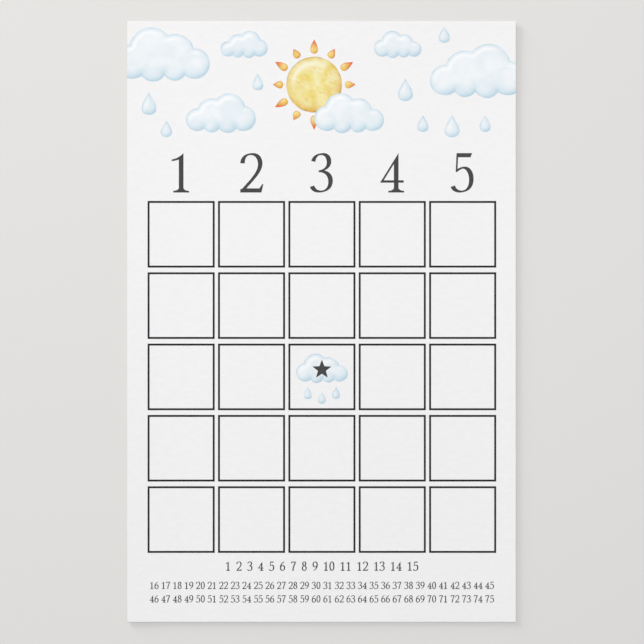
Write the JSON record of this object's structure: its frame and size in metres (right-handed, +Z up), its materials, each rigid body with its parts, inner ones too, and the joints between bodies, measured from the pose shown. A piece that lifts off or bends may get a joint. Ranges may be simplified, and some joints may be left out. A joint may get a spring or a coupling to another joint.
{
  "type": "bingo card",
  "caption": "Flat paper game card with a printed grid of blank squares, numbered column heads, a sky picture band and rows of small numbers.",
  "frame": {"origin": "centre of the card's back face, on the surface that the card lies on", "axes": "+X to the right across the columns, +Y along the card towards its picture band, +Z up out of the printed face"},
  "size_m": [0.1396, 0.216, 0.0004],
  "materials": {
    "card_face": "uncoated matt white, fine fibre",
    "card_core": "rougher off-white pulp at the cut edge",
    "card_back": "uncoated matt white, blank",
    "line_ink": "near-black toner, slight sheen",
    "numeral_ink": "dark grey toner",
    "number_ink": "dark grey toner",
    "sun_ink": "yellow wash, darker golden rim",
    "ray_ink": "golden wash with orange-red tips",
    "sky_ink": "pale blue wash, darker thin rim"
  },
  "bodies": {
    "root": {"back_ply": "card_back", "core_ply": "card_core", "face_ply": "card_face", "square_r1_c1": "line_ink", "square_r1_c2": "line_ink", "square_r1_c3": "line_ink", "square_r1_c4": "line_ink", "square_r1_c5": "line_ink", "square_r2_c1": "line_ink", "square_r2_c2": "line_ink", "square_r2_c3": "line_ink", "square_r2_c4": "line_ink", "square_r2_c5": "line_ink", "square_r3_c1": "line_ink", "square_r3_c2": "line_ink", "square_r3_c3": "line_ink", "square_r3_c4": "line_ink", "square_r3_c5": "line_ink", "square_r4_c1": "line_ink", "square_r4_c2": "line_ink", "square_r4_c3": "line_ink", "square_r4_c4": "line_ink", "square_r4_c5": "line_ink", "square_r5_c1": "line_ink", "square_r5_c2": "line_ink", "square_r5_c3": "line_ink", "square_r5_c4": "line_ink", "square_r5_c5": "line_ink", "column_numeral_1": "numeral_ink", "column_numeral_2": "numeral_ink", "column_numeral_3": "numeral_ink", "column_numeral_4": "numeral_ink", "column_numeral_5": "numeral_ink", "number_row_1": "number_ink", "number_row_2": "number_ink", "number_row_3": "number_ink", "sun_disc": "sun_ink", "sun_rays": "ray_ink", "cloud_1": "sky_ink", "cloud_2": "sky_ink", "cloud_3": "sky_ink", "cloud_4": "sky_ink", "cloud_5": "sky_ink", "cloud_6": "sky_ink", "raindrop_1": "sky_ink", "raindrop_2": "sky_ink", "raindrop_3": "sky_ink", "raindrop_4": "sky_ink", "raindrop_5": "sky_ink", "raindrop_6": "sky_ink", "raindrop_7": "sky_ink", "raindrop_8": "sky_ink", "free_cloud": "sky_ink", "free_star": "numeral_ink", "free_drop_1": "sky_ink", "free_drop_2": "sky_ink", "free_drop_3": "sky_ink"}
  },
  "joints": []
}
